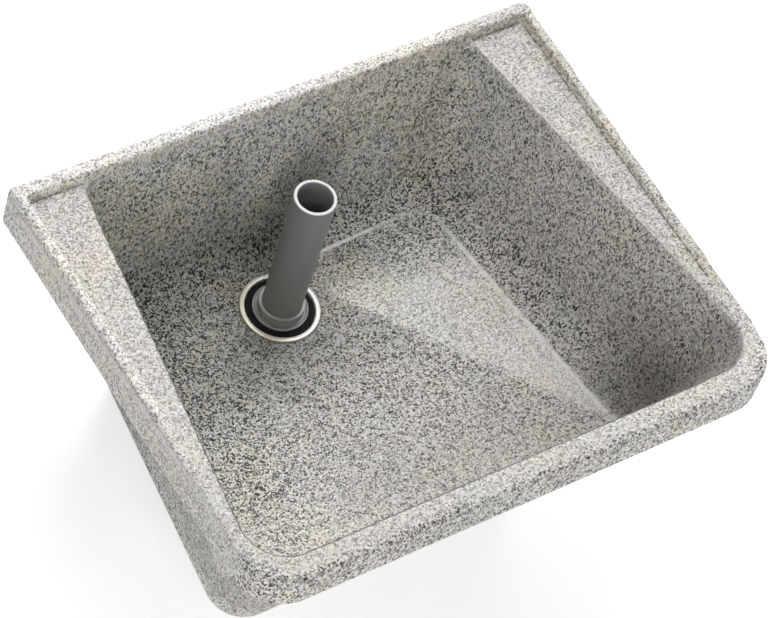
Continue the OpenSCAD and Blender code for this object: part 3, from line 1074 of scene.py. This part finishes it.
metal = {
    "steel": {"colour": (0.96, 0.94, 0.90, 1), "rough": 0.30, "darkening": 0.25, "metallic": 0.12},
    "brass": {"colour": (0.64, 0.46, 0.20, 1), "rough": 0.32, "darkening": 0.6, "metallic": 1.0},
    "stoneReflectionTint": (0.97, 0.91, 0.76),
    "stoneReflectionShare": 0.8,
    "stoneReflectionSpan": (0.02, -0.03),  # beside the drain's axis
    "mattSpan": (-0.003, -0.010),  # above the floor at the drain
    "stainSpan": (0.52, 0.72),
    "uneven": {"smear": 0.16, "marks": 0.10, "stain": 0.2},  # of the roughness
    "stainTint": 0.62,
    "bump": 0.00005,
}


def tinted(colour, tint):
    return tuple(c * k for c, k in zip(colour, tint)) + (1,)


def paintMetal(name, pieces, look):
    paint = Paint(name)
    colour = look["colour"]
    z = paint.axis(paint.place, 2)
    # turning marks run round the axis
    rings = paint.add("CombineXYZ", {}, {0: paint.radius(), 1: z})
    marks = paint.noise(900, 2.0, vector=rings)
    smear = paint.noise(70, 3.0)
    stain = paint.span(paint.noise(160, 4.0, 0.6), *metal["stainSpan"]) * look["darkening"]
    # painted reflection: the left side is creamier, for the stone reflected in it
    beside = paint.axis(paint.place, 0) - drainX
    reflectedShare = paint.span(beside, *metal["stoneReflectionSpan"]) * metal["stoneReflectionShare"]
    clean = paint.mix(reflectedShare, colour, tinted(colour, metal["stoneReflectionTint"]))
    dull = tinted(colour, (metal["stainTint"],) * 3)
    paint.set("Base Color", paint.mix(stain, clean, dull))
    # what shows above the drain stays matt, so that it has no dark reflections
    paint.set("Metallic", paint.span(z - drainZ, *metal["mattSpan"], look["metallic"], 1.0))
    uneven = metal["uneven"]
    rough = look["rough"] + (smear - 0.5) * uneven["smear"] + (marks - 0.5) * uneven["marks"]
    paint.set("Roughness", rough + stain * uneven["stain"])
    paint.bump(marks * 0.5 + smear * 0.5, metal["bump"])
    paint.cover(*pieces)


tube = {
    "footColour": (0.195, 0.197, 0.195, 1),
    "topColour": (0.210, 0.216, 0.220, 1),
    "streakColour": (0.140, 0.143, 0.145, 1),
    "scuffColour": (0.28, 0.28, 0.28, 1),
    "boreLitColour": (0.24, 0.23, 0.24, 1),
    "cutColours": ((0.58, 0.58, 0.58, 1), (0.78, 0.78, 0.79, 1)),
    "bump": 0.00012,
}


def paintTube():
    t, top = tube, drainZ + plug["pipeHigh"]
    bore, mouth = plug["boreR"], plug["mouthR"]
    paint = Paint("tubeGrey")
    z = paint.axis(paint.place, 2)
    radius = paint.radius()
    # the tube is paler above and slightly blue, and darker towards its foot
    high = paint.span(z, drainZ + 0.02, drainZ + 0.17)
    streak = paint.noise(130, 3.0, vector=paint.vector("MULTIPLY", paint.place, (1, 1, 0.12)))
    scuff = paint.noise(45, 4.0, 0.6)
    side = paint.mix(high, t["footColour"], t["topColour"])
    side = paint.mix((streak - 0.35) * 0.5, side, t["streakColour"])
    side = paint.mix(paint.span(scuff, 0.58, 0.75) * 0.25, side, t["scuffColour"])
    # painted light: the bore is paler than the tube's side, so that its inside doesn't render black
    colour = paint.mix(paint.span(radius, bore + 0.0010, bore + 0.0004), side, t["boreLitColour"])
    cut = paint.span(z, top - 0.0017, top - 0.0011) * paint.span(radius, bore + 0.0005, bore + 0.0012)
    cut = cut * paint.span(radius, mouth - 0.0001, mouth - 0.0006)
    colour = paint.mix(cut, colour, paint.mix(paint.noise(300, 2.0), *t["cutColours"]))
    paint.set("Base Color", colour)
    paint.set("Roughness", 0.34 + scuff * 0.16)
    paint.bump(streak * 0.6 + scuff * 0.4, t["bump"])
    paint.cover(overflowTube)


foot = {
    "colours": ((0.22, 0.218, 0.215, 1), (0.32, 0.313, 0.305, 1)),
    "ringColour": (0.44, 0.43, 0.42, 1),
    "edgeHighlightColour": (0.60, 0.59, 0.58, 1),
    "bump": 0.0001,
}


def paintFoot():
    flange, collar = drainZ + plug["flangeThick"], drainZ + plug["collarHigh"]
    paint = Paint("footGrey")
    radius = paint.radius()
    z = paint.axis(paint.place, 2)
    rings = paint.noise(1400, 1.0, vector=paint.add("CombineXYZ", {}, {0: radius}))
    scuff = paint.noise(90, 4.0, 0.6)
    colour = paint.mix(scuff, *foot["colours"])
    colour = paint.mix(paint.span(rings, 0.6, 0.8) * 0.4, colour, foot["ringColour"])
    # painted highlights on the edges: the flange's rim and the collar's mouth
    edge = paint.span(radius, plug["flangeR"] - 0.0009, plug["flangeR"] - 0.0004)
    edge = edge * paint.span(z, flange - 0.0012, flange - 0.0004)
    edge = edge + paint.span(z, collar - 0.0009, collar - 0.0004)
    paint.set("Base Color", paint.mix(edge * 0.75, colour, foot["edgeHighlightColour"]))
    paint.set("Roughness", 0.20 + scuff * 0.2)
    paint.bump(rings * 0.5 + scuff * 0.5, foot["bump"])
    paint.cover(tubeFoot)


rubber = {
    "colours": ((0.014, 0.012, 0.013, 1), (0.030, 0.028, 0.028, 1)),
    "bump": 0.0001,
}


def paintRubber():
    paint = Paint("sealRubber", Specular_IOR_Level=0.06)
    dust = paint.span(paint.noise(120, 4.0, 0.6), 0.5, 0.8)
    paint.set("Base Color", paint.mix(dust * 0.5, *rubber["colours"]))
    paint.set("Roughness", 0.55 + dust * 0.25)
    paint.bump(paint.noise(1600, 2.0), rubber["bump"])
    paint.cover(plugRubber, flangeRubber, bottomRubber)


nylon = {
    "colours": ((0.70, 0.68, 0.61, 1), (0.82, 0.81, 0.76, 1)),
    "bump": 0.00008,
}


def paintSlip():
    paint = Paint("paleNylon")
    cloud = paint.noise(110, 3.0)
    paint.set("Base Color", paint.mix(cloud, *nylon["colours"]))
    paint.set("Roughness", 0.38 + cloud * 0.2)
    paint.bump(paint.noise(700, 2.0), nylon["bump"])
    paint.cover(slipDisc)


paintStone()
paintMetal("brightSteel", [wasteFlange, strainerPlate, screwHead], metal["steel"])
paintMetal("rawBrass", [clampNut], metal["brass"])
paintTube()
paintFoot()
paintRubber()
paintSlip()
print("materials painted")

for piece, node, body, slot in [
        (basinStone, "basin", "sink", "cast_stone"),
        (wasteFlange, "waste_body", "sink", "polished_steel"),
        (strainerPlate, "strainer", "sink", "polished_steel"),
        (screwHead, "strainer_screw", "sink", "polished_steel"),
        (flangeRubber, "flange_gasket", "sink", "black_rubber"),
        (bottomRubber, "bottom_washer", "sink", "black_rubber"),
        (slipDisc, "slip_ring", "sink", "pale_plastic"),
        (clampNut, "backnut", "sink", "brass"),
        (overflowTube, "standpipe", "overflow_plug", "grey_plastic"),
        (tubeFoot, "standpipe_socket", "overflow_plug", "grey_plastic"),
        (plugRubber, "plug_seal", "overflow_plug", "black_rubber")]:
    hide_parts(node)
    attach(piece, body)


# studio

studio = {
    "floorSize": 9,
    "floorColour": (0.80, 0.80, 0.80, 1),
    "floorGlow": 0.58,  # what the camera sees on top of the lit floor
    "floorNear": 0.9,
    "floorFar": 2.4,
    "worldFill": 0.04,
    "lampAway": 2.6,
    "lampTarget": (0, 0, 0.2),
    "lamps": [  # azimuth from +x towards the back, elevation, width, power
        ("keyLamp", 45, 65, 1.1, 24.5),
        ("backLamp", 90, 65, 1.1, 13.0),
        ("rightLamp", 45, 40, 1.0, 17.0),
        ("leftLamp", 180, 40, 1.0, 6.0),
        ("frontLamp", 238, 45, 0.6, 9.0),  # throws the tube's soft shadow on the rear wall
        ("lowRightLamp", 45, 15, 1.0, 30.0),
        ("lowBackLamp", 135, 15, 1.0, 4.0),
        ("lowFrontLamp", 225, 15, 1.0, 15.0),
        ("lowSideLamp", 300, 15, 1.0, 10.0)],
}


def seenDirectly(nodes):
    path = nodes.tree.nodes.new("ShaderNodeLightPath")
    camera, glossy, clear = (Flow(nodes, path.outputs["Is %s Ray" % kind])
                             for kind in ("Camera", "Glossy", "Transmission"))
    return nodes.add("Clamp", {}, {0: camera + glossy + clear})


def makeFloor():
    clearSelection()
    bpy.ops.mesh.primitive_plane_add(size=studio["floorSize"], location=(0, 0, 0))
    floor = applyPlace(bpy.context.object, "studioFloor")
    paint = Paint("paleFloor", Roughness=0.9)
    # far from the object the floor is a plain white backdrop
    away = paint.span(paint.length(paint.place), studio["floorNear"], studio["floorFar"])
    paint.set("Base Color", paint.mix(away, studio["floorColour"], (0, 0, 0, 1)))
    paint.set("Emission Color", paint.mix(away, (studio["floorGlow"],) * 3 + (1,), (1, 1, 1, 1)))
    paint.set("Emission Strength", seenDirectly(paint))
    paint.cover(floor)


def addLamp(name, azimuth, elevation, size, power):
    a, e = math.radians(azimuth), math.radians(elevation)
    way = Vector((math.cos(a) * math.cos(e), math.sin(a) * math.cos(e), math.sin(e)))
    target = Vector(studio["lampTarget"])
    clearSelection()
    bpy.ops.object.light_add(type="AREA", location=target + way * studio["lampAway"])
    lamp = bpy.context.object
    lamp.name = name
    lamp.data.shape = "DISK"
    lamp.data.size = size
    lamp.data.energy = power
    lamp.rotation_euler = (target - lamp.location).to_track_quat("-Z", "Y").to_euler()


def makeWorld():
    world = bpy.data.worlds.new("studioWorld")
    bpy.context.scene.world = world
    world.use_nodes = True
    nodes = Nodes(world.node_tree)
    backdrop = nodes.tree.nodes["Background"]
    fill = studio["worldFill"]
    nodes.feed(backdrop.inputs["Strength"], seenDirectly(nodes) * (1 - fill) + fill)
    nodes.feed(backdrop.inputs["Color"], (1, 1, 1, 1))


# place and turn worked out from the rim's edges, the creases and the drain's circles
view = {
    "azimuth": -48.04375,
    "elevation": 53.16086,
    "roll": 19.82720,
    "target": (-0.032075, -0.020474, 0.290),
    "distance": 3.774374,
    "focalPixels": 3947.58,
    "photoWide": 768,
    "sensorWide": 36,
    "clipEnd": 30,
}


def makeCamera():
    azimuth, elevation, roll = (math.radians(view[key]) for key in ("azimuth", "elevation", "roll"))
    back = Vector((math.sin(azimuth) * math.cos(elevation), -math.cos(azimuth) * math.cos(elevation),
                   math.sin(elevation)))
    right = Vector((math.cos(azimuth), math.sin(azimuth), 0))
    up = back.cross(right)
    acrossAxis = right * math.cos(roll) + up * math.sin(roll)
    upAxis = up * math.cos(roll) - right * math.sin(roll)
    clearSelection()
    bpy.ops.object.camera_add()
    camera = bpy.context.object
    camera.name = "photoCamera"
    place = Vector(view["target"]) + back * view["distance"]
    camera.matrix_world = Matrix.Translation(place) @ Matrix(
        (acrossAxis, upAxis, back)).transposed().to_4x4()
    camera.data.sensor_width = view["sensorWide"]
    camera.data.lens = view["focalPixels"] / view["photoWide"] * view["sensorWide"]
    camera.data.clip_end = view["clipEnd"]
    bpy.context.scene.camera = camera


makeFloor()
makeWorld()
for lamp in studio["lamps"]:
    addLamp(*lamp)
makeCamera()
bpy.context.scene.view_settings.view_transform = "Standard"
print("studio ready")
